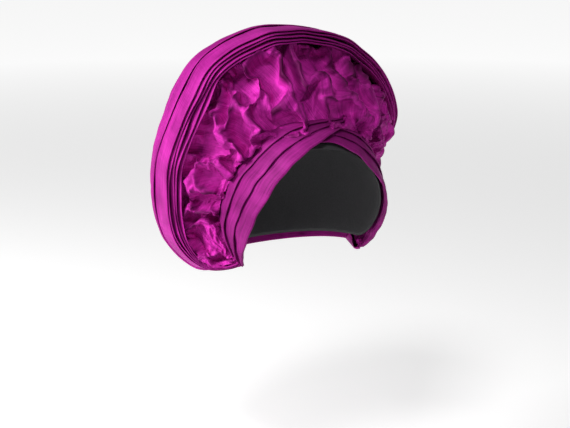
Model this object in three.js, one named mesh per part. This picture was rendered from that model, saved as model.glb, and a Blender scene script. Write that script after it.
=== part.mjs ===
import * as THREE from "three";

// Tied gele head tie: a stretch cap, two pleated bands crossed over the brow, and a tall
// halo of gathered puffs framed by a nest of folded pleats, closed by a plain back cover.
// Sizes are in millimetres. +Z is up, the wearer faces -Y and the wearer's right is -X.
// The origin is the crown of the head, where the cap rests.

// Head that the cap is stretched over
const HEAD_HALF_WIDTH = 74;
const HEAD_HALF_LENGTH = 94;
const HEAD_RISE = 100;

// Cloth layers
const CAP_WALL = 1.5;
const BAND_WALL = 2.8;
const RUFFLE_WALL = 2.2;
const BACK_WALL = 2.2;
const LAYER_GAP = 0.4;
const FACET_ROOM = 0.4;

// Halo, measured from the middle of the head
const HALO_HALF_WIDTH = 140;
const HALO_BACK = 66;
const HALO_RISE = 180;

// Folded pleats around the rim
const PLEAT_COUNT = 5;
const PLEAT_PITCH = 3.2;
const PLEAT_GAP = 0.6;
const PLEAT_STEP = 1.8;
const RIM_DEPTH = 30;
const NESTED_DEPTH_SHARE = 0.55;
const PLEAT_MIDDLE_SHARE = 0.4;
const STATION_CROWDING = 0.085;

// Gathered panel between the bands and the rim
const RUFFLE_RECESS = 9;
const RUFFLE_RIM_ROOM = 2.9;
const RUFFLE_SWELL = 22;
const PUFF_SIZE = 20;
const PUFF_HEIGHT = 9;
const CREASE_DEPTH = 3;

// Back cover
const BACK_BULGE = 70;
const BACK_LEAVE_SHARE = 0.45;
const BACK_LEAN = 0.6;
const HEM_LIFT = -28;
const HEM_DROP = 6;
const HEM_TURN = 110;

// Rows and columns of facets
const CAP_COLUMNS = 32;
const CAP_ROWS = 6;
const BAND_STATIONS = 22;
const RIM_STATIONS = 52;
const RUFFLE_ROWS = 10;
const BACK_ROWS = 5;

function table(columns, rows) {
  return rows.map((row) => Object.fromEntries(columns.map((column, i) => [column, row[i]])));
}

// Front edge of the outermost pleat from the right ear over the top to the left ear, in
// shares of the halo sizes, then the seam on the head (degrees), how full the pleats are
// and how deep the rim is there.
const RIM = table(["across", "back", "up", "turn", "lift", "full", "deep"], [
  [-0.565, 0.0, -0.31, 93, -26, 0.5, 0.1],
  [-0.65, 0.47, -0.335, 106, -25, 0.5, 0.35],
  [-0.717, 0.79, -0.299, 114, -19, 0.62, 0.7],
  [-0.803, 0.95, -0.188, 117, -11, 0.8, 0.95],
  [-0.838, 1.0, -0.033, 116, -1, 0.95, 0.98],
  [-0.857, 0.94, 0.117, 110, 10, 1, 0.93],
  [-0.865, 0.8, 0.284, 103, 23, 1, 0.86],
  [-0.818, 0.62, 0.458, 95, 36, 1, 0.84],
  [-0.74, 0.48, 0.645, 84, 46, 1, 0.84],
  [-0.642, 0.36, 0.806, 70, 54, 1, 0.86],
  [-0.521, 0.26, 0.888, 56, 59, 1, 0.9],
  [-0.346, 0.18, 0.956, 40, 61, 1, 0.96],
  [-0.171, 0.14, 0.992, 22, 62, 1, 1],
  [0.026, 0.14, 0.984, 2, 61, 1, 1],
  [0.224, 0.15, 0.96, -20, 60, 1, 1],
  [0.364, 0.18, 0.929, -36, 57, 1, 1],
  [0.533, 0.24, 0.873, -50, 53, 1, 1],
  [0.746, 0.35, 0.752, -63, 47, 1, 1],
  [0.912, 0.45, 0.601, -76, 40, 1, 1],
  [1.019, 0.59, 0.438, -88, 30, 1, 0.95],
  [1.031, 0.76, 0.313, -98, 18, 1, 0.9],
  [0.98, 0.87, 0.21, -106, 6, 0.95, 0.85],
  [0.89, 0.93, 0.08, -112, -6, 0.8, 0.8],
  [0.79, 0.8, -0.12, -111, -18, 0.62, 0.6],
  [0.665, 0.47, -0.3, -104, -25, 0.5, 0.35],
  [0.565, 0.0, -0.32, -93, -26, 0.5, 0.1],
]);

// Lower edge of the stretch cap around the head, in degrees.
const CAP_EDGE = table(["turn", "lift"], [
  [-180, -31], [-140, -31], [-110, -31], [-86, -30], [-75, -20], [-65, -8], [-55, 5],
  [-45, 18], [-34, 29], [-24, 38], [-13, 44], [-4, 46.3], [6, 47.6], [14, 48.8], [24, 49.5],
  [38, 41], [50, 29], [60, 15], [67, -1], [76, -17], [86, -29], [110, -31], [140, -31],
  [180, -31],
]);

// Band stations from the ear to the crossing: front edge and rear edge as shares of the
// head sizes. "over" is how far the band has climbed onto the other band.
const BAND_COLUMNS = ["fx", "fy", "fz", "rx", "ry", "rz", "over"];
const RIGHT_BAND = table(BAND_COLUMNS, [
  [-0.877, -0.045, -0.478, -0.881, 0.027, -0.472, 0],
  [-0.933, -0.177, -0.312, -0.923, 0.231, -0.306, 0],
  [-0.942, -0.316, -0.11, -0.936, 0.344, -0.079, 0],
  [-0.898, -0.425, 0.11, -0.964, 0.211, 0.164, 0],
  [-0.789, -0.522, 0.325, -0.907, 0.092, 0.412, 0],
  [-0.605, -0.604, 0.518, -0.782, -0.081, 0.618, 0.4],
  [-0.355, -0.643, 0.679, -0.562, -0.231, 0.794, 1],
  [-0.063, -0.612, 0.788, -0.255, -0.372, 0.892, 1],
  [0.227, -0.496, 0.838, 0.099, -0.43, 0.898, 1],
  [0.48, -0.328, 0.813, 0.412, -0.253, 0.876, 1],
]);
const LEFT_BAND = table(BAND_COLUMNS, [
  [0.877, -0.045, -0.478, 0.881, 0.027, -0.472, 0],
  [0.918, -0.185, -0.349, 0.948, 0.161, -0.273, 0],
  [0.924, -0.333, -0.19, 0.969, 0.246, -0.025, 0],
  [0.877, -0.479, -0.02, 0.976, 0.132, 0.171, 0],
  [0.776, -0.609, 0.162, 0.937, -0.02, 0.348, 0],
  [0.621, -0.706, 0.34, 0.837, -0.184, 0.515, 0],
  [0.426, -0.758, 0.493, 0.663, -0.339, 0.668, 0],
  [0.21, -0.734, 0.646, 0.418, -0.415, 0.808, 0],
  [-0.039, -0.661, 0.749, 0.147, -0.449, 0.881, 0],
  [-0.312, -0.583, 0.75, -0.154, -0.476, 0.866, 0],
]);

// Cross-section of a band from its tucked rear edge to its front edge: three pleats, each
// thin where it slides under the one behind and full at its own fold.
const PLEAT_PROFILE = table(["across", "thick"], [
  [-0.2, 0.5], [0.05, 0.8], [0.3, 1], [0.33, 0.55], [0.48, 0.8], [0.63, 1], [0.66, 0.55],
  [0.83, 0.8], [1, 1],
]);

// Puffs of the gathered panel: place along the rim and across from seam to rim, half sizes
// as shares of PUFF_SIZE, turn in degrees and height as a share of PUFF_HEIGHT.
const PUFFS = table(["along", "across", "long", "wide", "turn", "high"], [
  [0.035, 0.4, 0.55, 0.35, 0, 0.5],
  [0.085, 0.6, 0.9, 0.55, 10, 0.8],
  [0.125, 0.12, 0.5, 0.45, 0, 0.7],
  [0.132, 0.5, 0.7, 0.45, -20, 0.6],
  [0.178, 0.3, 0.75, 0.75, 0, 1],
  [0.17, 0.82, 1, 0.4, 0, 0.5],
  [0.228, 0.3, 0.8, 0.8, 20, 0.6],
  [0.225, 0.8, 0.9, 0.35, 0, 0.3],
  [0.275, 0.68, 1.4, 0.95, 0, 1],
  [0.285, 0.2, 0.8, 0.6, 0, 0.5],
  [0.335, 0.9, 0.9, 0.4, 30, 0.5],
  [0.345, 0.66, 0.9, 0.5, 40, 0.7],
  [0.343, 0.3, 0.95, 0.5, 45, 1],
  [0.388, 0.72, 1, 1, 0, 1.1],
  [0.405, 0.33, 1.1, 0.75, 60, 0.8],
  [0.375, 0.1, 0.7, 0.4, 0, 0.4],
  [0.435, 0.63, 0.75, 1, 0, 1],
  [0.432, 0.24, 1.1, 0.5, 0, 0.8],
  [0.475, 0.66, 0.45, 1.4, 0, 0.9],
  [0.49, 0.3, 0.6, 1.2, -30, 0.6],
  [0.517, 0.78, 0.6, 0.9, 0, 0.6],
  [0.505, 0.18, 0.45, 1, -10, 0.8],
  [0.54, 0.65, 0.5, 1.4, 0, 0.9],
  [0.54, 0.2, 0.85, 0.8, 0, 0.7],
  [0.573, 0.65, 0.55, 1.1, 15, 1],
  [0.608, 0.75, 0.5, 0.9, 0, 0.8],
  [0.588, 0.42, 0.5, 0.5, 0, 0.6],
  [0.58, 0.1, 0.6, 0.6, 0, 0.6],
  [0.655, 0.8, 1, 0.8, 0, 0.9],
  [0.65, 0.45, 1, 0.8, 0, 0.8],
  [0.64, 0.15, 0.9, 0.5, 0, 0.5],
  [0.705, 0.3, 0.8, 0.6, 0, 0.8],
  [0.72, 0.7, 1.1, 0.7, 0, 0.5],
  [0.77, 0.4, 1, 0.9, 0, 0.7],
  [0.82, 0.65, 1, 0.7, 0, 0.6],
  [0.87, 0.35, 1, 0.7, 0, 0.7],
  [0.92, 0.6, 0.9, 0.5, 0, 0.6],
  [0.965, 0.4, 0.55, 0.35, 0, 0.5],
]);

const CLOTH = { color: 0xa52c8c, roughness: 0.55, metalness: 0 };
const CLOTH_DEEP = { color: 0x7d1f69, roughness: 0.6, metalness: 0 };
const CAP_CLOTH = { color: 0x232323, roughness: 0.85, metalness: 0 };

// A wall of cloth from two matching grids of points, its face and its back, closed along
// every free edge. A ring joins its last row to its first.
function clothWall(name, face, back, look, ring = false) {
  const points = [];
  const known = new Map();
  const faces = [];
  const id = (p) => {
    const key = `${p.x.toFixed(3)},${p.y.toFixed(3)},${p.z.toFixed(3)}`;
    if (!known.has(key)) {
      known.set(key, points.length);
      points.push(p);
    }
    return known.get(key);
  };
  const triangle = (a, b, c) => {
    if (a !== b && b !== c && c !== a) faces.push(a, b, c);
  };
  const quad = (a, b, c, d) => {
    const [i, j, k, l] = [id(a), id(b), id(c), id(d)];
    triangle(i, j, k);
    triangle(i, k, l);
  };
  const rows = face.length;
  const last = face[0].length - 1;
  const spans = ring ? rows : rows - 1;
  for (let i = 0; i < spans; i += 1) {
    const n = (i + 1) % rows;
    for (let j = 0; j < last; j += 1) {
      quad(face[i][j], face[n][j], face[n][j + 1], face[i][j + 1]);
      quad(back[i][j], back[i][j + 1], back[n][j + 1], back[n][j]);
    }
    quad(back[i][0], back[n][0], face[n][0], face[i][0]);
    quad(face[i][last], face[n][last], back[n][last], back[i][last]);
  }
  if (!ring) {
    for (let j = 0; j < last; j += 1) {
      quad(face[0][j], face[0][j + 1], back[0][j + 1], back[0][j]);
      quad(back[rows - 1][j], back[rows - 1][j + 1], face[rows - 1][j + 1], face[rows - 1][j]);
    }
  }
  const volume = new THREE.Vector3();
  let sum = 0;
  for (let i = 0; i < faces.length; i += 3) {
    volume.crossVectors(points[faces[i + 1]], points[faces[i + 2]]);
    sum += points[faces[i]].dot(volume);
  }
  if (sum < 0) faces.reverse();
  const geometry = new THREE.BufferGeometry().setFromPoints(points);
  geometry.setIndex(faces);
  geometry.computeVertexNormals();
  const mesh = new THREE.Mesh(geometry, new THREE.MeshStandardMaterial(look));
  mesh.name = name;
  return mesh;
}

// Point at a distance outside the head in a given direction, with the head's normal there.
function onHead(direction, away) {
  const size = new THREE.Vector3(HEAD_HALF_WIDTH, HEAD_HALF_LENGTH, HEAD_RISE);
  const point = direction.clone().multiplyScalar(1 / direction.clone().divide(size).length());
  const normal = point.clone().divide(size).divide(size).normalize();
  return { point: point.addScaledVector(normal, away), normal };
}

// Direction from the middle of the head: turn from the face toward the wearer's right,
// lift above the level plane.
function heading(turn, lift) {
  const t = THREE.MathUtils.degToRad(turn);
  const l = THREE.MathUtils.degToRad(lift);
  return new THREE.Vector3(
    -Math.sin(t) * Math.cos(l),
    -Math.cos(t) * Math.cos(l),
    Math.sin(l),
  );
}

function smoothCurve(points) {
  return new THREE.CatmullRomCurve3(points, false, "catmullrom", 0.5);
}

const rimLine = smoothCurve(RIM.map((r) => new THREE.Vector3(
  r.across * HALO_HALF_WIDTH,
  r.back * HALO_BACK,
  r.up * HALO_RISE,
)));
rimLine.arcLengthDivisions = 1200;
const seamLine = smoothCurve(RIM.map((r) => new THREE.Vector3(r.turn, r.lift, 0)));
const fullLine = smoothCurve(RIM.map((r) => new THREE.Vector3(r.full, r.deep, 0)));

// The ruffle's seam passes over both bands where they cross.
const SEAM_AWAY = CAP_WALL + 2 * (BAND_WALL + LAYER_GAP + FACET_ROOM) + LAYER_GAP;

// Share of the rim's length at a share of its stations, which crowd toward the ears.
function stationShare(share) {
  return share - STATION_CROWDING * Math.sin(2 * Math.PI * share);
}

// Frame of the rim at a share of its length: along it, straight back and outward.
function rimFrame(share) {
  const t = rimLine.getUtoTmapping(share);
  const point = rimLine.getPoint(t);
  const along = rimLine.getTangent(t);
  const back = new THREE.Vector3(0, 1, 0);
  back.addScaledVector(along, -along.dot(back)).normalize();
  const out = new THREE.Vector3().crossVectors(along, back);
  const seam = seamLine.getPoint(t);
  const { x: full, y: deep } = fullLine.getPoint(t);
  const head = onHead(heading(seam.x, seam.y), SEAM_AWAY);
  return { point, back, out, full, deep, seam: head.point, up: head.normal };
}

// Point of the rim's cross-section: inward from the outer face, and back from the edge.
function rimPoint(frame, inward, behind) {
  return frame.point.clone().addScaledVector(frame.out, -inward).addScaledVector(frame.back, behind);
}

function innerCap() {
  const rows = [[], []];
  const edge = (turn) => {
    const next = CAP_EDGE.findIndex((r) => r.turn > turn);
    const [a, b] = [CAP_EDGE[next - 1], CAP_EDGE[next]];
    return THREE.MathUtils.mapLinear(turn, a.turn, b.turn, a.lift, b.lift);
  };
  for (let i = 0; i < CAP_COLUMNS; i += 1) {
    const turn = -180 + (360 * i) / CAP_COLUMNS;
    const low = edge(turn);
    for (const [side, away] of [CAP_WALL, 0].entries()) {
      rows[side].push(Array.from({ length: CAP_ROWS + 1 }, (_, j) => (
        onHead(heading(turn, low + ((90 - low) * j) / CAP_ROWS), away).point
      )));
    }
  }
  return clothWall("inner_cap", rows[0], rows[1], CAP_CLOTH, true);
}

function band(name, stations) {
  const curve = (x, y, z) => smoothCurve(stations.map((r) => new THREE.Vector3(r[x], r[y], r[z])));
  const front = curve("fx", "fy", "fz");
  const rear = curve("rx", "ry", "rz");
  const climb = smoothCurve(stations.map((r) => new THREE.Vector3(r.over, 0, 0)));
  const size = new THREE.Vector3(HEAD_HALF_WIDTH, HEAD_HALF_LENGTH, HEAD_RISE);
  const face = [];
  const back = [];
  for (let i = 0; i <= BAND_STATIONS; i += 1) {
    const t = i / BAND_STATIONS;
    const a = rear.getPoint(t).multiply(size);
    const b = front.getPoint(t).multiply(size);
    const over = THREE.MathUtils.clamp(climb.getPoint(t).x, 0, 1);
    const layer = LAYER_GAP + FACET_ROOM;
    const seat = CAP_WALL + layer + over * (BAND_WALL + layer);
    face.push(PLEAT_PROFILE.map((p) => (
      onHead(a.clone().lerp(b, p.across), seat + BAND_WALL * p.thick).point
    )));
    back.push(PLEAT_PROFILE.map((p) => onHead(a.clone().lerp(b, p.across), seat).point));
  }
  return clothWall(name, face, back, CLOTH);
}

// Smooth surface under the puffs, from the seam on the head to the innermost pleat.
function ruffleBase(along, across) {
  const f = rimFrame(along);
  const inward = PLEAT_COUNT * PLEAT_PITCH * f.full + RUFFLE_RIM_ROOM + RUFFLE_WALL;
  const edge = rimPoint(f, inward, RUFFLE_RECESS * f.full);
  const fill = Math.min(1, f.seam.distanceTo(edge) / (3 * PUFF_SIZE)) * RUFFLE_SWELL;
  const line = new THREE.CubicBezierCurve3(
    f.seam,
    f.seam.clone().addScaledVector(f.up, fill),
    edge.clone().addScaledVector(f.back, -fill),
    edge,
  );
  return line.getPoint(across);
}

function puffHeight(along, across, width) {
  const length = rimLine.getLength();
  let height = -CREASE_DEPTH;
  for (const p of PUFFS) {
    const turn = THREE.MathUtils.degToRad(p.turn);
    const x = (along - p.along) * length;
    const y = (across - p.across) * width;
    const u = (x * Math.cos(turn) + y * Math.sin(turn)) / (p.long * PUFF_SIZE);
    const v = (y * Math.cos(turn) - x * Math.sin(turn)) / (p.wide * PUFF_SIZE);
    const dome = Math.sqrt(Math.max(0, 1 - u * u - v * v));
    height = Math.max(height, dome * (p.high * PUFF_HEIGHT + CREASE_DEPTH) - CREASE_DEPTH);
  }
  return height;
}

function rufflePanel() {
  const face = [];
  const back = [];
  const stations = 2 * RIM_STATIONS;
  const step = 0.5 / stations;
  for (let i = 0; i <= stations; i += 1) {
    const along = stationShare(i / stations);
    const faceRow = [];
    const backRow = [];
    const width = ruffleBase(along, 0).distanceTo(ruffleBase(along, 1));
    for (let j = 0; j <= RUFFLE_ROWS; j += 1) {
      const across = j / RUFFLE_ROWS;
      const [a, b] = [Math.max(0, along - step), Math.min(1, along + step)];
      const [c, d] = [Math.max(0, across - step), Math.min(1, across + step)];
      const run = ruffleBase(b, across).sub(ruffleBase(a, across));
      const rise = ruffleBase(along, d).sub(ruffleBase(along, c));
      const normal = rise.cross(run).normalize();
      const point = ruffleBase(along, across);
      const fade = Math.min(1, 4 * across, 4 * (1 - across), 20 * along, 20 * (1 - along));
      const height = fade * puffHeight(along, across, width);
      faceRow.push(point.clone().addScaledVector(normal, height));
      backRow.push(point.clone().addScaledVector(normal, height - RUFFLE_WALL));
    }
    face.push(faceRow);
    back.push(backRow);
  }
  return clothWall("ruffle_panel", face, back, CLOTH);
}

// One folded pleat of the rim. Each lies inside the last and stands a little further out
// in front; the outermost is the broad one.
function rimPleat(order) {
  const face = [];
  const back = [];
  for (let i = 0; i <= RIM_STATIONS; i += 1) {
    const f = rimFrame(stationShare(i / RIM_STATIONS));
    const pitch = PLEAT_PITCH * f.full;
    const top = order * pitch;
    const wall = pitch - PLEAT_GAP;
    const front = -order * PLEAT_STEP * f.full;
    const nested = NESTED_DEPTH_SHARE * RIM_DEPTH * f.deep;
    const columns = [front, nested * PLEAT_MIDDLE_SHARE, nested];
    if (order === 0) columns.push(RIM_DEPTH * f.deep);
    face.push(columns.map((behind) => rimPoint(f, top, behind)));
    back.push(columns.map((behind) => rimPoint(f, top + wall, behind)));
  }
  return clothWall(`rim_pleat_${order + 1}`, face, back, order % 2 ? CLOTH_DEEP : CLOTH);
}

// Plain cover from the back of the rim over the back of the head down to the nape.
function crownBack() {
  const face = [];
  const back = [];
  const hemAway = CAP_WALL + LAYER_GAP + FACET_ROOM + BACK_WALL;
  for (let i = 0; i <= RIM_STATIONS; i += 1) {
    const share = i / RIM_STATIONS;
    const f = rimFrame(stationShare(share));
    const turn = THREE.MathUtils.lerp(HEM_TURN, 360 - HEM_TURN, share);
    const start = rimPoint(f, 0, RIM_DEPTH * f.deep + LAYER_GAP + FACET_ROOM);
    const hem = onHead(heading(turn, HEM_LIFT), hemAway);
    const edge = onHead(heading(turn, HEM_LIFT - HEM_DROP), hemAway);
    const reach = start.distanceTo(hem.point);
    const leave = start.clone().sub(hem.point).normalize();
    leave.addScaledVector(hem.normal, BACK_LEAN - leave.dot(hem.normal)).normalize();
    const line = new THREE.CubicBezierCurve3(
      start,
      start.clone().addScaledVector(f.back, BACK_BULGE * Math.min(1, reach / HALO_RISE)),
      hem.point.clone().addScaledVector(leave, BACK_LEAVE_SHARE * reach),
      hem.point,
    );
    const faceRow = [];
    const backRow = [];
    for (let j = 0; j <= BACK_ROWS; j += 1) {
      const t = j / BACK_ROWS;
      const point = line.getPoint(t);
      const slope = line.getTangent(t);
      const out = f.out.clone().lerp(hem.normal, t);
      out.addScaledVector(slope, -out.dot(slope)).normalize();
      faceRow.push(point);
      backRow.push(point.clone().addScaledVector(out, -BACK_WALL));
    }
    faceRow.push(edge.point);
    backRow.push(edge.point.clone().addScaledVector(edge.normal, -BACK_WALL));
    face.push(faceRow);
    back.push(backRow);
  }
  return clothWall("crown_back", face, back, CLOTH_DEEP);
}

const wrap = new THREE.Group();
wrap.position.z = -HEAD_RISE;
wrap.add(innerCap());
wrap.add(band("band_left", LEFT_BAND));
wrap.add(band("band_right", RIGHT_BAND));
wrap.add(rufflePanel());
for (let order = 0; order < PLEAT_COUNT; order += 1) wrap.add(rimPleat(order));
wrap.add(crownBack());

const headTie = new THREE.Group();
headTie.name = "gele_head_tie";
headTie.add(wrap);

export default headTie;
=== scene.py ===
import math

import bmesh
import bpy
import numpy as np
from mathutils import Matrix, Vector


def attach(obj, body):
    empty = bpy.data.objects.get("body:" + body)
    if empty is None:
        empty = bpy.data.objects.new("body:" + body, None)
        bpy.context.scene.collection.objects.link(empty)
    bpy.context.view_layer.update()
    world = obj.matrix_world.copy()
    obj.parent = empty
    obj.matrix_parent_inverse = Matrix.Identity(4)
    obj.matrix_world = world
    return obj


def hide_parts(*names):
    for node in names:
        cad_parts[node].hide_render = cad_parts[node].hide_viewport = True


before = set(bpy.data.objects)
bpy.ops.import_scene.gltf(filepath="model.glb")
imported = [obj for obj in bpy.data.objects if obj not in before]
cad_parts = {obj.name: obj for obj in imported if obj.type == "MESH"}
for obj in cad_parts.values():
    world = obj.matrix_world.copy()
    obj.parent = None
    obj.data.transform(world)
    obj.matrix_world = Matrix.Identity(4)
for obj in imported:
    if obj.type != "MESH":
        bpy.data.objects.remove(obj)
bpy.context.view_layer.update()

# ---- Camera, floor and light ----
# The wrap is seen from the wearer's right and a little above, as a head holds it, over a
# plain pale floor with a broad soft light from the front left.
VIEW_TURN = -30
VIEW_RISE = 16
VIEW_DISTANCE = 1.4
VIEW_TARGET = Vector((0, -0.005, -0.130))
# The film is as wide as 570 mm at the wrap; the shifts are shares of that in millimetres.
FILM_WIDTH = 36
VIEW_WIDTH = 570
SHIFT_ACROSS = -19
SHIFT_UP = 24
turn, rise = math.radians(VIEW_TURN), math.radians(VIEW_RISE)
toward_eye = Vector((
    math.sin(turn) * math.cos(rise),
    -math.cos(turn) * math.cos(rise),
    math.sin(rise),
))
camera = bpy.data.objects.new("camera", bpy.data.cameras.new("camera"))
camera.data.sensor_width = FILM_WIDTH
camera.data.lens = FILM_WIDTH * (1000 * VIEW_DISTANCE) / VIEW_WIDTH
camera.data.shift_x = SHIFT_ACROSS / VIEW_WIDTH
camera.data.shift_y = SHIFT_UP / VIEW_WIDTH
camera.location = VIEW_TARGET + toward_eye * VIEW_DISTANCE
camera.rotation_euler = (-toward_eye).to_track_quat("-Z", "Y").to_euler()
bpy.context.collection.objects.link(camera)
bpy.context.scene.camera = camera
bpy.context.scene.view_settings.view_transform = "Standard"

FLOOR_LEVEL = -0.42
FLOOR_HALF = 6


def made(name, bm):
    mesh = bpy.data.meshes.new(name)
    bm.to_mesh(mesh)
    bm.free()
    piece = bpy.data.objects.new(name, mesh)
    bpy.context.collection.objects.link(piece)
    return piece


bm = bmesh.new()
bmesh.ops.create_grid(bm, x_segments=1, y_segments=1, size=FLOOR_HALF)
bmesh.ops.translate(bm, verts=bm.verts, vec=(0, 0, FLOOR_LEVEL))
floor = made("floor", bm)


class Socket:
    """A shader value that adds Math nodes as it is used in an expression."""

    def __init__(self, shader, out):
        self.shader = shader
        self.out = out

    def maths(self, operation, *values):
        inputs = {i: v for i, v in enumerate(values)}
        return self.shader.node("ShaderNodeMath", inputs, operation=operation)

    def __add__(self, other):
        return self.maths("ADD", self, other)

    def __radd__(self, other):
        return self.maths("ADD", other, self)

    def __sub__(self, other):
        return self.maths("SUBTRACT", self, other)

    def __rsub__(self, other):
        return self.maths("SUBTRACT", other, self)

    def __mul__(self, other):
        return self.maths("MULTIPLY", self, other)

    def __rmul__(self, other):
        return self.maths("MULTIPLY", other, self)


class Shader:
    """A material with its Principled shader, and one method that adds any other node."""

    def __init__(self, name):
        self.material = bpy.data.materials.new(name)
        self.material.use_nodes = True
        self.tree = self.material.node_tree
        self.surface = self.tree.nodes["Principled BSDF"]

    def node(self, kind, inputs=None, output=0, **settings):
        made_node = self.tree.nodes.new(kind)
        for key, value in settings.items():
            setattr(made_node, key, value)
        for key, value in (inputs or {}).items():
            self.link(made_node.inputs[key], value)
        return Socket(self, made_node.outputs[output])

    def link(self, socket, value):
        if isinstance(value, Socket):
            self.tree.links.new(value.out, socket)
        else:
            socket.default_value = value

    def feed(self, **values):
        for key, value in values.items():
            self.link(self.surface.inputs[key.replace("_", " ")], value)


def blend_colours(shader, share, first, second):
    """A colour between two, by a share."""
    return shader.node(
        "ShaderNodeMix",
        {0: share, 6: first, 7: second},
        output=2,
        data_type="RGBA",
        clamp_factor=True,
    )


def linear(red, green, blue):
    """An sRGB colour from 0 to 255 as the shader's linear colour."""
    return tuple((c / 255) ** 2.2 for c in (red, green, blue)) + (1,)


paper = Shader("pale_floor")
paper_place = paper.node("ShaderNodeTexCoord", output=3)
paper_tone = paper.node("ShaderNodeTexNoise", {"Vector": paper_place, "Scale": 1.5})
paper_far = paper.node("ShaderNodeVectorMath", {0: paper_place}, output=1, operation="LENGTH")
paper_glow = paper.node(
    "ShaderNodeMath", {0: 0.35 * paper_far - 0.1, 1: 0}, operation="MAXIMUM", use_clamp=True
)
paper.feed(
    Base_Color=(0.9, 0.9, 0.9, 1),
    Roughness=0.85 + 0.05 * paper_tone,
    Emission_Color=blend_colours(paper, paper_glow, (0.12, 0.12, 0.12, 1), (0.8, 0.8, 0.8, 1)),
    Emission_Strength=1,
)
floor.data.materials.append(paper.material)

world = bpy.data.worlds.new("studio")
world.use_nodes = True
world.node_tree.nodes["Background"].inputs["Color"].default_value = (1, 1, 1, 1)
world.node_tree.nodes["Background"].inputs["Strength"].default_value = 0.12
bpy.context.scene.world = world
LIGHT_AIM = Vector((0, 0, -0.05))
# Each soft box: place, width and power, in metres and watts.
for name, place, width, power in (
    ("key_light", (-1.25, 0.3, 0.45), 0.45, 30),
    ("front_light", (-0.8, -0.7, 1.3), 0.4, 16),
    ("top_light", (0.1, 0.5, 1.4), 0.9, 3),
    ("side_light", (1.3, -0.7, 0.5), 0.9, 3),
):
    lamp = bpy.data.objects.new(name, bpy.data.lights.new(name, "AREA"))
    lamp.data.size = width
    lamp.data.energy = power
    lamp.location = place
    aim = LIGHT_AIM - lamp.location
    lamp.rotation_euler = aim.to_track_quat("-Z", "Y").to_euler()
    bpy.context.collection.objects.link(lamp)

# ---- Inner cap ----
# A close black stretch-knit cap, pulled over the head under everything else. Only a sliver
# shows at the brow where the two bands cross; its matt knit shows inside the wrap.
HEAD = np.array((0.074, 0.094, 0.100))
HEAD_RISE = 0.100


def on_head(direction, away):
    """Points at a distance outside the head in given directions, with its normals."""
    point = direction / np.linalg.norm(direction / HEAD, axis=-1, keepdims=True)
    normal = point / HEAD**2
    normal /= np.linalg.norm(normal, axis=-1, keepdims=True)
    return point + normal * np.asarray(away)[..., None], normal


def heading(turn, lift):
    """Directions from the head's middle, from degrees of turn and lift."""
    t, l = np.radians(turn), np.radians(lift)
    return np.stack((-np.sin(t) * np.cos(l), -np.cos(t) * np.cos(l), np.sin(l)), -1)


knit = Shader("cap_knit")
knit_place = knit.node("ShaderNodeTexCoord", output=3)
knit_rib = knit.node("ShaderNodeTexWave", {"Vector": knit_place, "Scale": 420, "Distortion": 1.5})
knit_fuzz = knit.node("ShaderNodeTexNoise", {"Vector": knit_place, "Scale": 900})
knit.feed(
    Base_Color=blend_colours(knit, knit_fuzz, linear(24, 24, 26), linear(54, 53, 56)),
    Roughness=0.8 + 0.1 * knit_fuzz,
    Normal=knit.node("ShaderNodeBump", {"Height": knit_rib, "Strength": 0.12, "Distance": 0.0003}),
)


def node_copy(name, node, merge=0.00002):
    """A merged copy of a solid of the frame, to be dressed as the finished piece."""
    bm = bmesh.new()
    bm.from_mesh(bpy.data.objects[node].data)
    bmesh.ops.remove_doubles(bm, verts=bm.verts, dist=merge)
    return made(name, bm)


cap = node_copy("stretch_cap", "inner_cap")
for face in cap.data.polygons:
    face.use_smooth = True
cap.data.materials.append(knit.material)
smoothing = cap.modifiers.new("smooth", "SUBSURF")
smoothing.levels = smoothing.render_levels = 1
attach(cap, "root")
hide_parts("inner_cap")

# ---- Brow bands ----
# Two strips of slubbed silky cloth laid in three knife pleats each. The left one lies on
# the cap and the right one crosses over it at the brow; both run down to the ears.
BAND_SEAT = 0.0023
BAND_OVER = 0.0036
BAND_LENGTH = 0.235
BAND_CLOTH = 0.085
BAND_STEPS = 150
BAND_SINK = 0.0006
BAND_LOFT = 1.5
BAND_OPENING = 0.9
OPENING_END = 0.42
PLEAT_DRIFT = 0.018
PLEAT_WAVE = 0.0003


def spline(rows, share):
    """Smooth values along a table's rows, at shares of its length."""
    rows = np.asarray(rows, float)
    count = len(rows)
    place = np.clip(share, 0, 1) * (count - 1)
    i = np.minimum(place.astype(int), count - 2)
    w = (place - i)[:, None]
    held = np.vstack((2 * rows[0] - rows[1], rows, 2 * rows[-1] - rows[-2]))
    a, b, c, d = held[i], held[i + 1], held[i + 2], held[i + 3]
    return (
        b + 0.5 * w * (c - a)
        + w**2 * (a - 2.5 * b + 2 * c - 0.5 * d)
        + w**3 * (1.5 * b - 1.5 * c + 0.5 * d - 0.5 * a)
    )


def ripple(share, seed, waves):
    """A gentle uneven wave along a fold, about -1 to 1, the same on every run."""
    steps = np.random.default_rng(seed).uniform(0, 2 * math.pi, waves)
    total = sum(
        np.sin(2 * math.pi * share * (k + 1.3) * 1.7 + steps[k]) / (1 + 0.35 * k)
        for k in range(waves)
    )
    return total / 2.2


def cloth_sheet(name, along, across, size, place):
    """A grid of cloth with its threads in a UV map in metres, moved to its place."""
    bm = bmesh.new()
    bmesh.ops.create_grid(bm, x_segments=along, y_segments=across, size=0.5)
    threads = bm.loops.layers.uv.new("threads")
    flat = np.array([(v.co.x + 0.5, v.co.y + 0.5) for v in bm.verts])
    for face in bm.faces:
        face.smooth = True
        for loop in face.loops:
            x, y = flat[loop.vert.index]
            loop[threads].uv = (x * size[0], y * size[1])
    spots = place(flat[:, 0], flat[:, 1])
    spots[:, 2] -= HEAD_RISE
    for vert, spot in zip(bm.verts, spots):
        vert.co = spot
    bmesh.ops.recalc_face_normals(bm, faces=bm.faces)
    return made(name, bm)


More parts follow.
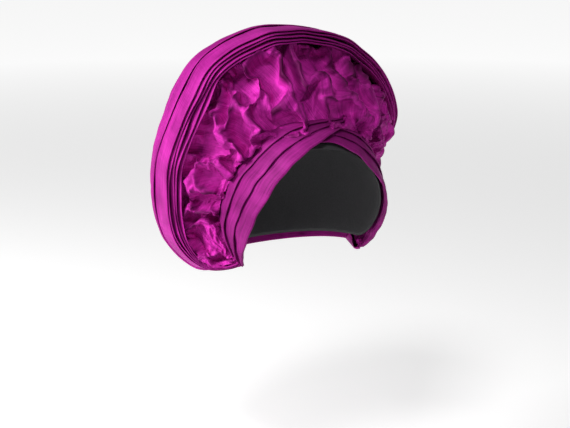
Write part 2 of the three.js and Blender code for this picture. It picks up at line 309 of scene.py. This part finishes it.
# Stations from the ear to the crossing: front and rear edge as shares of the head sizes,
# then how far the band has climbed over the other.
RIGHT_BAND = (
    (-0.877, -0.045, -0.478, -0.881, 0.027, -0.472, 0),
    (-0.933, -0.177, -0.312, -0.923, 0.231, -0.306, 0),
    (-0.942, -0.316, -0.11, -0.936, 0.344, -0.079, 0),
    (-0.898, -0.425, 0.11, -0.964, 0.211, 0.164, 0),
    (-0.789, -0.522, 0.325, -0.907, 0.092, 0.412, 0),
    (-0.605, -0.604, 0.518, -0.782, -0.081, 0.618, 0.4),
    (-0.355, -0.643, 0.679, -0.562, -0.231, 0.794, 1),
    (-0.063, -0.612, 0.788, -0.255, -0.372, 0.892, 1),
    (0.227, -0.496, 0.838, 0.099, -0.43, 0.898, 1),
    (0.48, -0.328, 0.813, 0.412, -0.253, 0.876, 1),
)
LEFT_BAND = (
    (0.877, -0.045, -0.478, 0.881, 0.027, -0.472, 0),
    (0.918, -0.185, -0.349, 0.948, 0.161, -0.273, 0),
    (0.924, -0.333, -0.19, 0.969, 0.246, -0.025, 0),
    (0.877, -0.479, -0.02, 0.976, 0.132, 0.171, 0),
    (0.776, -0.609, 0.162, 0.937, -0.02, 0.348, 0),
    (0.621, -0.706, 0.34, 0.837, -0.184, 0.515, 0),
    (0.426, -0.758, 0.493, 0.663, -0.339, 0.668, 0),
    (0.21, -0.734, 0.646, 0.418, -0.415, 0.808, 0),
    (-0.039, -0.661, 0.749, 0.147, -0.449, 0.881, 0),
    (-0.312, -0.583, 0.75, -0.154, -0.476, 0.866, 0),
)
# The cloth's path over three knife pleats, from the tucked rear edge to the front fold:
# share across the band, height over the cap in millimetres, and which pleat it is on.
BAND_PATH = (
    (-0.45, 0.8, 0), (-0.25, 1.0, 0), (0.0, 1.7, 0), (0.16, 2.5, 0), (0.26, 2.9, 0),
    (0.305, 3.0, 0), (0.322, 2.8, 0), (0.322, 2.4, 0), (0.305, 2.15, 0), (0.26, 1.9, 0),
    (0.235, 1.6, 0), (0.26, 1.3, 1), (0.32, 1.4, 1), (0.39, 1.8, 1), (0.48, 2.3, 1),
    (0.58, 2.8, 1), (0.63, 2.95, 1), (0.65, 2.75, 1), (0.65, 2.35, 1), (0.63, 2.1, 1),
    (0.585, 1.85, 1), (0.56, 1.55, 1), (0.585, 1.25, 2), (0.65, 1.4, 2), (0.72, 1.8, 2),
    (0.82, 2.3, 2), (0.93, 2.75, 2), (0.985, 2.8, 2), (1.0, 2.3, 2), (0.99, 1.6, 2),
    (0.96, 1.0, 2), (0.9, 0.6, 2),
)


def silk(name, slub_turn=0.0, tone=1.0, crumple=0.0):
    """Silky cloth with uneven slubs along its length and a soft sheen on the folds."""
    cloth = Shader(name)
    threads = cloth.node("ShaderNodeUVMap", uv_map="threads")
    laid = cloth.node(
        "ShaderNodeMapping",
        {"Vector": threads, "Rotation": (0, 0, math.radians(slub_turn))},
    )
    slub_place = cloth.node(
        "ShaderNodeVectorMath", {0: laid, 1: (32, 850, 1)}, operation="MULTIPLY"
    )
    warp_place = cloth.node(
        "ShaderNodeVectorMath", {0: laid, 1: (1300, 60, 1)}, operation="MULTIPLY"
    )
    slubs = cloth.node("ShaderNodeTexNoise", {"Vector": slub_place, "Scale": 1, "Detail": 3})
    warps = cloth.node("ShaderNodeTexNoise", {"Vector": warp_place, "Scale": 1, "Detail": 2})
    clouds = cloth.node("ShaderNodeTexNoise", {"Vector": laid, "Scale": 35, "Detail": 2})
    weave = 0.75 * slubs + 0.25 * warps
    shade = 0.6 * weave + 0.4 * clouds
    # tone scales this copy's colours brighter or darker: the bands' lower tone is painted shade
    # and the puffs' higher tone is painted light.
    deep = linear(104 * tone, 14 * tone, 84 * tone)
    bright = linear(172 * tone, 42 * tone, 142 * tone)
    # Painted shade: the attribute read here marks the puffs' creases, and there the colour is
    # blended towards a dark purple that stands in for the shade falling in them.
    painted_crease_shade = cloth.node("ShaderNodeAttribute", output=2, attribute_name="painted_crease_shade")
    rumples = cloth.node(
        "ShaderNodeTexNoise", {"Vector": laid, "Scale": 75, "Detail": 2, "Distortion": 0.6}
    )
    crease = cloth.node("ShaderNodeMath", {0: rumples - 0.5}, operation="ABSOLUTE")
    woven = blend_colours(cloth, 3.4 * shade - 1.2, deep, bright)
    cloth.feed(
        Base_Color=blend_colours(cloth, painted_crease_shade, woven, linear(66, 0, 50)),
        Roughness=0.48 + 0.2 * weave,
        Metallic=0.2,
        Sheen_Weight=0.06,
        Sheen_Roughness=0.3,
        Sheen_Tint=linear(255, 120, 235),
        Specular_IOR_Level=0.2,
        Specular_Tint=linear(255, 150, 240),
        Normal=cloth.node(
            "ShaderNodeBump",
            {"Height": 0.2 * weave + crumple * crease, "Strength": 0.5, "Distance": 0.0015},
        ),
    )
    return cloth.material


# Painted shade: the bands are the same cloth at a darker tone, standing in for the shade that
# falls on them under the overhanging puffs and rim.
band_silk_painted_shade = silk("band_silk_painted_shade", tone=0.8)


def band_place(stations, seed):
    """Where a band's flat cloth lies: pleated along BAND_PATH, on its stations."""
    path = np.array(BAND_PATH)

    def place(along, across):
        row = spline(stations, along)
        column = across * (len(path) - 1)
        share = np.interp(column, np.arange(len(path)), path[:, 0])
        height = np.interp(column, np.arange(len(path)), path[:, 1]) / 1000
        pleat = np.rint(np.interp(column, np.arange(len(path)), path[:, 2]))
        for k in range(3):
            drift = PLEAT_DRIFT * ripple(along, seed + k, 6)
            wave = PLEAT_WAVE * ripple(along, seed + 9 + k, 9)
            share = share + np.where(pleat == k, drift, 0)
            height = height + np.where(pleat == k, wave, 0)
        opening = np.clip((OPENING_END - along) / OPENING_END, 0, 1)
        height = height * (BAND_LOFT + BAND_OPENING * opening * np.clip(along / 0.1, 0, 1))
        a, b = row[:, 3:6] * HEAD, row[:, 0:3] * HEAD
        seat = BAND_SEAT + np.clip(row[:, 6], 0, 1) * BAND_OVER - BAND_SINK
        return on_head(a + (b - a) * share[:, None], seat + height)[0]

    return place


for name, node, stations, seed in (
    ("left_brow_band", "band_left", LEFT_BAND, 11),
    ("right_brow_band", "band_right", RIGHT_BAND, 31),
):
    strip = cloth_sheet(
        name, BAND_STEPS, len(BAND_PATH) - 1, (BAND_LENGTH, BAND_CLOTH),
        band_place(stations, seed),
    )
    strip.data.materials.append(band_silk_painted_shade)
    smoothing = strip.modifiers.new("smooth", "SUBSURF")
    smoothing.levels = smoothing.render_levels = 1
    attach(strip, "root")
    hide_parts(node)

# ---- Rim pleats ----
# The halo's rim is one length of cloth laid in five nested folds: a broad smooth outer one
# and four narrow ones inside it, each standing a little further forward than the last.
HALO = np.array((0.140, 0.066, 0.180))
PLEAT_COUNT = 5
PLEAT_PITCH = 0.0032
PLEAT_STEP = 0.0018
RIM_DEPTH = 0.030
NESTED_SHARE = 0.55
STATION_CROWDING = 0.085
RIM_STEPS = 260
RIM_EASE = 0.15
TAIL_AWAY = 0.004
TAIL_SHARE = 0.04
FOLD_SWAY = 0.0018
FOLD_LEAN = 0.001
FOLD_WAVE = 0.0009
FOLD_FLARE = 0.3
BROAD_FILL = 0.8
NARROW_FILL = 0.62
RIM_CLOTH = 0.76
# The width of cloth in each fold, from the broad outer one inward.
FOLD_CLOTH = (0.047, 0.030, 0.032, 0.034, 0.036)
# Front edge of the outer fold from ear to ear in shares of the halo, the seam on the head
# in degrees, how full the folds are and how deep the rim is.
RIM = (
    (-0.565, 0.0, -0.31, 93, -26, 0.3, 0.1),
    (-0.65, 0.47, -0.335, 106, -25, 0.35, 0.35),
    (-0.717, 0.79, -0.299, 114, -19, 0.55, 0.7),
    (-0.803, 0.95, -0.188, 117, -11, 0.8, 0.95),
    (-0.838, 1.0, -0.033, 116, -1, 0.95, 0.98),
    (-0.857, 0.94, 0.117, 110, 10, 1, 0.93),
    (-0.865, 0.8, 0.284, 103, 23, 1, 0.86),
    (-0.818, 0.62, 0.458, 95, 36, 1, 0.84),
    (-0.74, 0.48, 0.645, 84, 46, 1, 0.84),
    (-0.642, 0.36, 0.806, 70, 54, 1, 0.86),
    (-0.521, 0.26, 0.888, 56, 59, 1, 0.9),
    (-0.346, 0.18, 0.956, 40, 61, 1, 0.96),
    (-0.171, 0.14, 0.992, 22, 62, 1, 1),
    (0.026, 0.14, 0.984, 2, 61, 1, 1),
    (0.224, 0.15, 0.96, -20, 60, 1, 1),
    (0.364, 0.18, 0.929, -36, 57, 1, 1),
    (0.533, 0.24, 0.873, -50, 53, 1, 1),
    (0.746, 0.35, 0.752, -63, 47, 1, 1),
    (0.912, 0.45, 0.601, -76, 40, 1, 1),
    (1.019, 0.59, 0.438, -88, 30, 1, 0.95),
    (1.031, 0.76, 0.313, -98, 18, 1, 0.9),
    (0.98, 0.87, 0.21, -106, 6, 0.95, 0.85),
    (0.89, 0.93, 0.08, -112, -6, 0.8, 0.8),
    (0.79, 0.8, -0.12, -111, -18, 0.62, 0.6),
    (0.665, 0.47, -0.3, -104, -25, 0.5, 0.35),
    (0.565, 0.0, -0.32, -93, -26, 0.5, 0.1),
)
rim_rows = np.array(RIM)
beside = rim_rows[2:, :3] + rim_rows[:-2, :3]
rim_rows[1:-1, :3] += RIM_EASE * (beside - 2 * rim_rows[1:-1, :3])
rim_rows[:, :3] *= HALO
fine = np.linspace(0, 1, 4001)
walked = spline(rim_rows[:, :3], fine)
walked = np.concatenate(((0,), np.cumsum(np.linalg.norm(np.diff(walked, axis=0), axis=1))))
RIM_LENGTH = walked[-1]
SEAM_AWAY = 0.0062
SEAM_OVER = 0.004


def rim_frames(share):
    """The rim's points and directions at shares of its length."""
    t = np.interp(share, walked / RIM_LENGTH, fine)
    row = spline(rim_rows, t)
    step = 0.002
    ahead = spline(rim_rows[:, :3], np.clip(t + step, 0, 1))
    along = ahead - spline(rim_rows[:, :3], np.clip(t - step, 0, 1))
    along /= np.linalg.norm(along, axis=1, keepdims=True)
    back = np.array((0, 1.0, 0)) - along * along[:, 1:2]
    back /= np.linalg.norm(back, axis=1, keepdims=True)
    edge = row[:, :3].copy()
    for band, near in ((RIGHT_BAND, share), (LEFT_BAND, 1 - share)):
        tail = on_head(np.mean((band[0][:3], band[0][3:6]), axis=0) * HEAD, TAIL_AWAY)[0]
        edge += (tail - edge) * np.clip(1 - near / TAIL_SHARE, 0, 1)[:, None] ** 1.5
    return {
        "edge": edge, "along": along, "back": back, "out": np.cross(along, back),
        "full": row[:, 5:6], "deep": row[:, 6:7],
        "seam": on_head(heading(row[:, 3], row[:, 4]), np.full(len(t), SEAM_AWAY)),
    }


# A narrow fold's path in shares of its thickness and depth: down its outer side from the
# back, round the front edge and back along the inner side.
FOLD_PATH = (
    (0.0, 1.0), (0.0, 0.75), (0.0, 0.5), (0.0, 0.3), (0.02, 0.15), (0.1, 0.05), (0.28, 0.0),
    (0.55, 0.0), (0.8, 0.05), (0.94, 0.15), (1.0, 0.3), (1.0, 0.55), (1.0, 0.9),
)


def fold_place(order):
    """Where one fold's flat cloth lies, counted from the outer fold inward."""
    path = np.array(FOLD_PATH)

    def place(along, across):
        share = along - STATION_CROWDING * np.sin(2 * math.pi * along)
        f = rim_frames(share)
        column = across * (len(path) - 1)
        inward = np.interp(column, np.arange(len(path)), path[:, 0])[:, None]
        behind = np.interp(column, np.arange(len(path)), path[:, 1])[:, None]
        pitch = PLEAT_PITCH * f["full"]
        front = -order * PLEAT_STEP * f["full"]
        sway = ripple(share, 50 + order, 9)[:, None]
        lean = ripple(share, 80 + order, 7)[:, None]
        depth = RIM_DEPTH * f["deep"] * (1 if order == 0 else NESTED_SHARE)
        if order == 0:
            flare = np.clip((behind - 0.5) / 0.5, 0, 1) ** 2
            inward = inward + FOLD_FLARE * flare * (inward < 0.5)
        far = front + FOLD_SWAY * sway * f["full"] * (order > 0)
        y = far + (depth - far) * behind
        thick = pitch * (NARROW_FILL if order else BROAD_FILL)
        x = order * pitch + thick * inward
        x = x + FOLD_LEAN * lean * f["full"] * np.clip(1 - behind, 0, 1) * (order > 0)
        x = x + FOLD_WAVE * ripple(share, 99, 14)[:, None] * f["full"]
        return f["edge"] - f["out"] * x + f["back"] * y

    return place


rim_silk = silk("rim_silk")
for order, width in enumerate(FOLD_CLOTH):
    fold = cloth_sheet(
        f"rim_fold_{order + 1}", RIM_STEPS, len(FOLD_PATH) - 1, (RIM_CLOTH, width),
        fold_place(order),
    )
    fold.data.materials.append(rim_silk)
    smoothing = fold.modifiers.new("smooth", "SUBSURF")
    smoothing.levels = smoothing.render_levels = 1
    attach(fold, "root")
    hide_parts(f"rim_pleat_{order + 1}")

# ---- Gathered puffs ----
# One wide piece of the same cloth, gathered to less than its own length and tacked down
# at scattered points, so that it stands in soft puffs between the bands and the rim.
RUFFLE_RECESS = 0.003
RUFFLE_RIM_ROOM = 0.0005
RUFFLE_WALL = 0.0022
RUFFLE_SWELL = 0.022
PUFF_SIZE = 0.020
PUFF_HEIGHT = 0.010
CREASE_DEPTH = 0.006
RUFFLE_ALONG = 270
RUFFLE_ACROSS = 44
SEAM_TAIL_AWAY = 0.005
SEAM_TAIL_SHARE = 0.1
# Tacks that gather the cloth most: share along the rim and share from seam to rim.
TACKS = (
    (0.41, 0.95), (0.31, 0.95), (0.62, 0.92), (0.583, 0.35), (0.705, 0.312), (0.242, 0.3),
    (0.075, 0.15), (0.05, 0.238), (0.545, 0.42), (0.46, 0.42), (0.37, 0.5),
)
# The other tacks lie in the creases, this far apart at the middle and closer to the ears.
TACK_APART = 0.022
TACK_MIDDLE = 0.46
TACK_CROWDING = 0.9
TACK_DEPTH = 0.012
BENDING = 10.0
EXCESS = 0.5
PRESSURE = 22.0
FRAMES = 28
PUFF_CLOTH = (0.9, 0.12)
SPIKE = 0.002
SPIKE_EASE = 0.7
# How deep a crease must lie for its painted shade to be full, and the share taken off before the
# painted shade starts.
PAINTED_SHADE_DEPTH = 0.0035
PAINTED_SHADE_FROM = 0.3
PUFF_REACH = 0.011
REACH_EASE = 0.6
# Puffs: share along the rim, share across from seam to rim, half length and half width as
# shares of PUFF_SIZE, turn in degrees and height as a share of PUFF_HEIGHT.
PUFFS = (
    (0.035, 0.4, 0.55, 0.35, 0, 0.5),
    (0.085, 0.6, 0.9, 0.55, 10, 0.8),
    (0.125, 0.12, 0.5, 0.45, 0, 0.7),
    (0.132, 0.5, 0.7, 0.45, -20, 0.6),
    (0.178, 0.3, 0.75, 0.75, 0, 1),
    (0.17, 0.82, 1, 0.4, 0, 0.5),
    (0.228, 0.3, 0.8, 0.8, 20, 0.6),
    (0.225, 0.8, 0.9, 0.35, 0, 0.3),
    (0.275, 0.68, 1.4, 0.95, 0, 1),
    (0.285, 0.2, 0.8, 0.6, 0, 0.5),
    (0.335, 0.9, 0.9, 0.4, 30, 0.5),
    (0.345, 0.66, 0.9, 0.5, 40, 0.7),
    (0.343, 0.3, 0.95, 0.5, 45, 1),
    (0.388, 0.72, 1, 1, 0, 1.1),
    (0.405, 0.33, 1.1, 0.75, 60, 0.8),
    (0.375, 0.1, 0.7, 0.4, 0, 0.4),
    (0.435, 0.63, 0.75, 1, 0, 1),
    (0.432, 0.24, 1.1, 0.5, 0, 0.8),
    (0.475, 0.66, 0.45, 1.4, 0, 0.9),
    (0.49, 0.3, 0.6, 1.2, -30, 0.6),
    (0.517, 0.78, 0.6, 0.9, 0, 0.6),
    (0.505, 0.18, 0.45, 1, -10, 0.8),
    (0.54, 0.65, 0.5, 1.4, 0, 0.9),
    (0.54, 0.2, 0.85, 0.8, 0, 0.7),
    (0.573, 0.65, 0.55, 1.1, 15, 1),
    (0.608, 0.75, 0.5, 0.9, 0, 0.8),
    (0.588, 0.42, 0.5, 0.5, 0, 0.6),
    (0.58, 0.1, 0.6, 0.6, 0, 0.6),
    (0.655, 0.8, 1, 0.8, 0, 0.9),
    (0.65, 0.45, 1, 0.8, 0, 0.8),
    (0.64, 0.15, 0.9, 0.5, 0, 0.5),
    (0.72, 0.7, 1.1, 0.7, 0, 0.5),
    (0.77, 0.4, 1, 0.9, 0, 0.7),
    (0.82, 0.65, 1, 0.7, 0, 0.6),
    (0.87, 0.35, 1, 0.7, 0, 0.7),
    (0.92, 0.6, 0.9, 0.5, 0, 0.6),
    (0.965, 0.4, 0.55, 0.35, 0, 0.5),
)


def ruffle_base(along, across):
    """The smooth surface under the puffs, from the seam to the innermost fold."""
    f = rim_frames(along)
    inward = PLEAT_COUNT * PLEAT_PITCH * f["full"]
    inward = inward + (RUFFLE_RIM_ROOM + RUFFLE_WALL) * f["deep"]
    edge = f["edge"] - f["out"] * inward + f["back"] * RUFFLE_RECESS * f["deep"]
    seam, up = f["seam"]
    over = seam - edge
    over -= up * (over * up).sum(1, keepdims=True)
    seam = seam + SEAM_OVER * over / np.linalg.norm(over, axis=1, keepdims=True)
    for band, near in ((RIGHT_BAND, along), (LEFT_BAND, 1 - along)):
        tail = np.mean((band[0][:3], band[0][3:6]), axis=0) * HEAD
        tail = on_head(tail, SEAM_TAIL_AWAY)[0]
        pull = np.clip(1 - near / SEAM_TAIL_SHARE, 0, 1)[:, None] ** 1.5
        seam = seam + (tail - seam) * pull
    reach = np.linalg.norm(edge - seam, axis=1, keepdims=True)
    fill = np.minimum(1, reach / (3 * PUFF_SIZE)) * RUFFLE_SWELL
    v = across[:, None]
    return (
        (1 - v) ** 3 * seam
        + 3 * (1 - v) ** 2 * v * (seam + up * fill)
        + 3 * (1 - v) * v**2 * (edge - f["back"] * fill)
        + v**3 * edge
    )


def puff_height(along, across):
    """How far the puffs stand out from the smooth surface, and the creases lie in it."""
    zero, one = np.zeros_like(across), np.ones_like(across)
    width = np.linalg.norm(ruffle_base(along, one) - ruffle_base(along, zero), axis=1)
    height = np.full(len(along), -CREASE_DEPTH)
    for centre, level, long, wide, tilt, high in PUFFS:
        a = math.radians(tilt)
        x, y = (along - centre) * RIM_LENGTH, (across - level) * width
        u = (x * math.cos(a) + y * math.sin(a)) / (long * PUFF_SIZE)
        v = (y * math.cos(a) - x * math.sin(a)) / (wide * PUFF_SIZE)
        dome = np.sqrt(np.clip(1 - u**2 - v**2, 0, 1))
        height = np.maximum(height, dome * (high * PUFF_HEIGHT + CREASE_DEPTH) - CREASE_DEPTH)
    return height


def ruffle_normal(along, across):
    """Outward from the smooth surface under the puffs."""
    step = 0.004
    low, high = np.clip(along - step, 0, 1), np.clip(along + step, 0, 1)
    run = ruffle_base(high, across) - ruffle_base(low, across)
    low, high = np.clip(across - step, 0, 1), np.clip(across + step, 0, 1)
    normal = np.cross(ruffle_base(along, high) - ruffle_base(along, low), run)
    return normal / np.linalg.norm(normal, axis=1, keepdims=True)


def puff_place(along, across):
    """Where the puffs' cloth starts, before it crumples; its edges stay on the surface."""
    fade = np.clip(np.minimum.reduce((
        10 * across, 14 * (1 - across), 20 * along, 20 * (1 - along), np.ones_like(along),
    )), 0, 1)
    lift = (fade * puff_height(along, across))[:, None]
    return ruffle_base(along, across) + ruffle_normal(along, across) * lift


def averaged(field, rounds):
    """A field on the cloth's grid, averaged with its neighbours some times over."""
    for _ in range(rounds):
        held = np.pad(field, ((1, 1), (1, 1), (0, 0)), "edge")
        beside = held[2:, 1:-1] + held[:-2, 1:-1] + held[1:-1, 2:] + held[1:-1, :-2]
        field = 0.5 * field + 0.125 * beside
    return field


puffs = cloth_sheet("gathered_puffs", RUFFLE_ALONG, RUFFLE_ACROSS, PUFF_CLOTH, puff_place)
# Painted light: the puffs are the same cloth at a brighter tone, standing in for the stronger
# light that falls on them.
puffs.data.materials.append(silk("puff_silk_painted_light", slub_turn=70, tone=1.14, crumple=2.5))
shares = np.zeros((len(puffs.data.vertices), 2))
for loop, thread in zip(puffs.data.loops, puffs.data.uv_layers["threads"].data):
    shares[loop.vertex_index] = thread.uv[:]
shares /= PUFF_CLOTH
outward = ruffle_normal(shares[:, 0], shares[:, 1])
shape = np.empty(shares.shape[0] * 3)
puffs.data.vertices.foreach_get("co", shape)
shape = shape.reshape(-1, 3)
raised = puff_height(shares[:, 0], shares[:, 1])
edge_row = (np.abs(shares[:, 1] - 0.5) > 0.49) | (np.abs(shares[:, 0] - 0.5) > 0.497)
inner = (shares[:, 1] > 0.12) & (shares[:, 1] < 0.88)
order = np.argsort(raised + 0.0005 * np.random.default_rng(5).uniform(0, 1, len(raised)))
tacks = [int(np.argmin(np.abs(shares - np.array(place)) @ (4, 1))) for place in TACKS]
apart = TACK_APART * (1 - TACK_CROWDING * np.abs(shares[:, 0] - TACK_MIDDLE))
for i in order:
    if not inner[i] or raised[i] > -0.5 * CREASE_DEPTH:
        continue
    if all(np.linalg.norm(shape[i] - shape[j]) > apart[i] for j in tacks):
        tacks.append(int(i))
for i in tacks:
    shape[i] -= outward[i] * TACK_DEPTH
puffs.data.vertices.foreach_set("co", shape.ravel())
pinned = edge_row.copy()
pinned[tacks] = True
tack = puffs.vertex_groups.new(name="tacks")
tack.add([int(i) for i in np.nonzero(pinned)[0]], 1.0, "REPLACE")
cloth = puffs.modifiers.new("cloth", "CLOTH")
settings = cloth.settings
settings.quality = 6
settings.mass = 0.12
settings.tension_stiffness = settings.compression_stiffness = 12
settings.shear_stiffness = 4
settings.bending_stiffness = BENDING
settings.air_damping = 2
settings.vertex_group_mass = "tacks"
settings.pin_stiffness = 1
settings.shrink_min = -EXCESS
settings.use_pressure = True
settings.uniform_pressure_force = PRESSURE
settings.effector_weights.gravity = 0
cloth.collision_settings.use_collision = False
cloth.collision_settings.use_self_collision = True
cloth.collision_settings.self_distance_min = 0.0005
cloth.collision_settings.self_friction = 3
cloth.point_cache.frame_start = 1
cloth.point_cache.frame_end = FRAMES
for step in range(1, FRAMES + 1):
    bpy.context.scene.frame_set(step)
settled = puffs.evaluated_get(bpy.context.evaluated_depsgraph_get())
shape = shape.ravel()
settled.data.vertices.foreach_get("co", shape)
shape = shape.reshape(-1, 3)
puffs.modifiers.remove(cloth)
bpy.context.scene.frame_set(1)
# The grid's own rows, so that each vertex can be compared with those beside it: lone spikes
# sink back, and the vertices that lie deeper than their surroundings are marked for painted shade.
rows = np.lexsort((
    np.rint(shares[:, 0] * RUFFLE_ALONG), np.rint(shares[:, 1] * RUFFLE_ACROSS),
))
laid = shape[rows].reshape(RUFFLE_ACROSS + 1, RUFFLE_ALONG + 1, 3)
for _ in range(4):
    gap = 2 * (averaged(laid, 1) - laid)
    far = np.linalg.norm(gap, axis=2, keepdims=True)
    laid = laid + SPIKE_EASE * gap * np.clip(far / SPIKE - 1, 0, 1)
deeper = (averaged(laid, 9) - laid).reshape(-1, 3)
painted_crease_shade = np.zeros(len(rows))
painted_crease_shade[rows] = (deeper * outward[rows]).sum(1) / PAINTED_SHADE_DEPTH - PAINTED_SHADE_FROM
shape[rows] = laid.reshape(-1, 3)
smooth = ruffle_base(shares[:, 0], shares[:, 1]) - (0, 0, HEAD_RISE)
beyond = ((shape - smooth) * outward).sum(1, keepdims=True) - PUFF_REACH
shape -= REACH_EASE * outward * np.clip(beyond, 0, None)
puffs.data.vertices.foreach_set("co", shape.ravel())
# The crease mark is stored on the cloth, whose shader paints shade into the creases with it.
puffs.data.attributes.new("painted_crease_shade", "FLOAT", "POINT").data.foreach_set(
    "value", np.clip(painted_crease_shade, 0, 1)
)
puffs.data.update()
smoothing = puffs.modifiers.new("smooth", "SUBSURF")
smoothing.levels = smoothing.render_levels = 1
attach(puffs, "root")
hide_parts("ruffle_panel")

# ---- Back cover ----
# A plain stretch of the same cloth behind the puffs, gathered lightly into the rim and
# drawn smooth over the back of the head to a hem at the nape.
BACK_BULGE = 0.070
BACK_LEAVE = 0.45
BACK_LEAN = 0.6
HEM_LIFT = -28
HEM_DROP = 6
HEM_TURN = 110
HEM_AWAY = 0.0045
HEM_SHARE = 0.93
COVER_START = 0.002
COVER_CRIMP = 0.0018
COVER_SWEEP = 0.002
COVER_WALL = 0.0012
COVER_STEPS = (200, 56)
COVER_CLOTH = (0.30, 0.26)


def back_place(along, across):
    """Where the cover's flat cloth lies, from under the rim to the hem at the nape."""
    f = rim_frames(along - STATION_CROWDING * np.sin(2 * math.pi * along))
    turn = HEM_TURN + (360 - 2 * HEM_TURN) * along
    start = f["edge"] + f["back"] * (RIM_DEPTH * f["deep"] - COVER_START)
    away = np.full(len(along), HEM_AWAY)
    hem, normal = on_head(heading(turn, np.full(len(turn), HEM_LIFT)), away)
    low = on_head(heading(turn, np.full(len(turn), HEM_LIFT - HEM_DROP)), away)[0]
    leave = start - hem
    reach = np.linalg.norm(leave, axis=1, keepdims=True)
    leave /= reach
    leave += normal * (BACK_LEAN - (leave * normal).sum(1, keepdims=True))
    leave /= np.linalg.norm(leave, axis=1, keepdims=True)
    v = np.clip(across / HEM_SHARE, 0, 1)[:, None]
    late = np.clip((across - HEM_SHARE) / (1 - HEM_SHARE), 0, 1)[:, None]
    one = start + f["back"] * BACK_BULGE * np.minimum(1, reach / HALO[2])
    two = hem + leave * BACK_LEAVE * reach
    spot = (
        (1 - v) ** 3 * start + 3 * (1 - v) ** 2 * v * one
        + 3 * (1 - v) * v**2 * two + v**3 * hem
    )
    spot = spot + (low - hem) * late
    fading = np.clip(4 * across, 0, 1) * np.exp(-3 * across)
    crimp = COVER_CRIMP * ripple(along * 5, 7, 12) * fading
    middle = np.sin(math.pi * across) ** 2
    sweep = COVER_SWEEP * ripple(along * 2.2 + 0.25 * across, 8, 6) * middle
    push = (crimp + sweep)[:, None] * f["full"]
    return spot + push * (f["out"] * (1 - v) + normal * v)


cover = cloth_sheet("crown_cover", *COVER_STEPS, COVER_CLOTH, back_place)
cover.data.materials.append(silk("cover_silk", tone=0.97))
thick = cover.modifiers.new("wall", "SOLIDIFY")
thick.thickness = COVER_WALL
thick.offset = -1
smoothing = cover.modifiers.new("smooth", "SUBSURF")
smoothing.levels = smoothing.render_levels = 1
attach(cover, "root")
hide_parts("crown_back")
